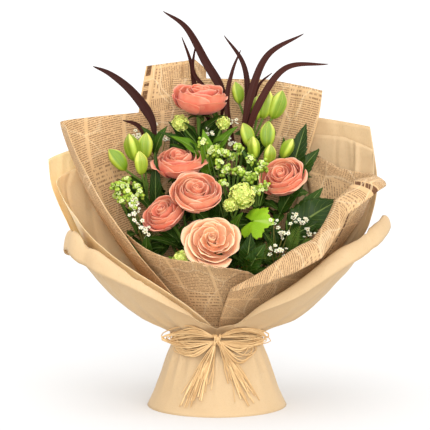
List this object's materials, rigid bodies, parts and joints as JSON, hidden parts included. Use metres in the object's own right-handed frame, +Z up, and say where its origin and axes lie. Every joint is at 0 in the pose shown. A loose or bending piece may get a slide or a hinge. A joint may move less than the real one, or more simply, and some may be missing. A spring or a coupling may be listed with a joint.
{
  "type": "mixed flower bouquet",
  "caption": "Hand tied bouquet of roses, buds and foliage in nested kraft and newsprint paper, tied with a raffia bow and standing on the flared skirt of its wrap.",
  "frame": {"origin": "middle of the underside of the bounding box, at the hem of the paper skirt", "axes": "+Z up from the hem to the tips of the strap leaves, -Y towards the front with the bow"},
  "size_m": [0.4786, 0.2506, 0.5559],
  "materials": {
    "kraft_paper": "matte kraft paper with fine creases",
    "newsprint_paper": "matte newsprint with greeked brown columns",
    "raffia": "dry natural raffia fibre",
    "string": "plain twine",
    "rose_petals": "soft matte coral petals with paler edges",
    "rose_leaves": "green stem and satin leaves",
    "lily_buds": "satin green buds with pale streaks",
    "strap_leaves": "dark burgundy satin blades",
    "snowball_heads": "matte chartreuse florets",
    "glossy_leaves": "glossy dark green leaves",
    "lime_buds": "satin lime green buds",
    "waxflowers": "waxy off-white petals",
    "fern": "fine matte fronds"
  },
  "bodies": {
    "root": {"binding_string": "string", "broad_leaf_front": "glossy_leaves", "fern_front": "fern", "fern_right": "fern", "glossy_leaves_back": "glossy_leaves", "glossy_leaves_left": "glossy_leaves", "glossy_leaves_right": "glossy_leaves", "kraft_sheet_left": "kraft_paper", "kraft_sheet_left_back": "kraft_paper", "kraft_sheet_outer": "kraft_paper", "kraft_sheet_right": "kraft_paper", "kraft_sheet_right_back": "kraft_paper", "lily_back": "lily_buds", "lily_left": "lily_buds", "lily_right": "lily_buds", "lime_spray_centre": "lime_buds", "lime_spray_left": "lime_buds", "lime_spray_right": "lime_buds", "newsprint_sheet_back_left": "newsprint_paper", "newsprint_sheet_back_right": "newsprint_paper", "newsprint_sheet_front": "newsprint_paper", "newsprint_sheet_left": "newsprint_paper", "newsprint_sheet_right": "newsprint_paper", "raffia_bow": "raffia", "rose_1": "rose_petals", "rose_1_stem": "rose_leaves", "rose_2": "rose_petals", "rose_2_stem": "rose_leaves", "rose_3": "rose_petals", "rose_3_stem": "rose_leaves", "rose_4": "rose_petals", "rose_4_stem": "rose_leaves", "rose_5": "rose_petals", "rose_5_stem": "rose_leaves", "rose_6": "rose_petals", "rose_6_stem": "rose_leaves", "snowball_back": "snowball_heads", "snowball_low": "snowball_heads", "snowball_middle": "snowball_heads", "strap_leaves_centre": "strap_leaves", "strap_leaves_left": "strap_leaves", "strap_leaves_right": "strap_leaves", "waxflower_back": "waxflowers", "waxflower_left": "waxflowers", "waxflower_low_left": "waxflowers", "waxflower_right": "waxflowers"}
  },
  "joints": []
}
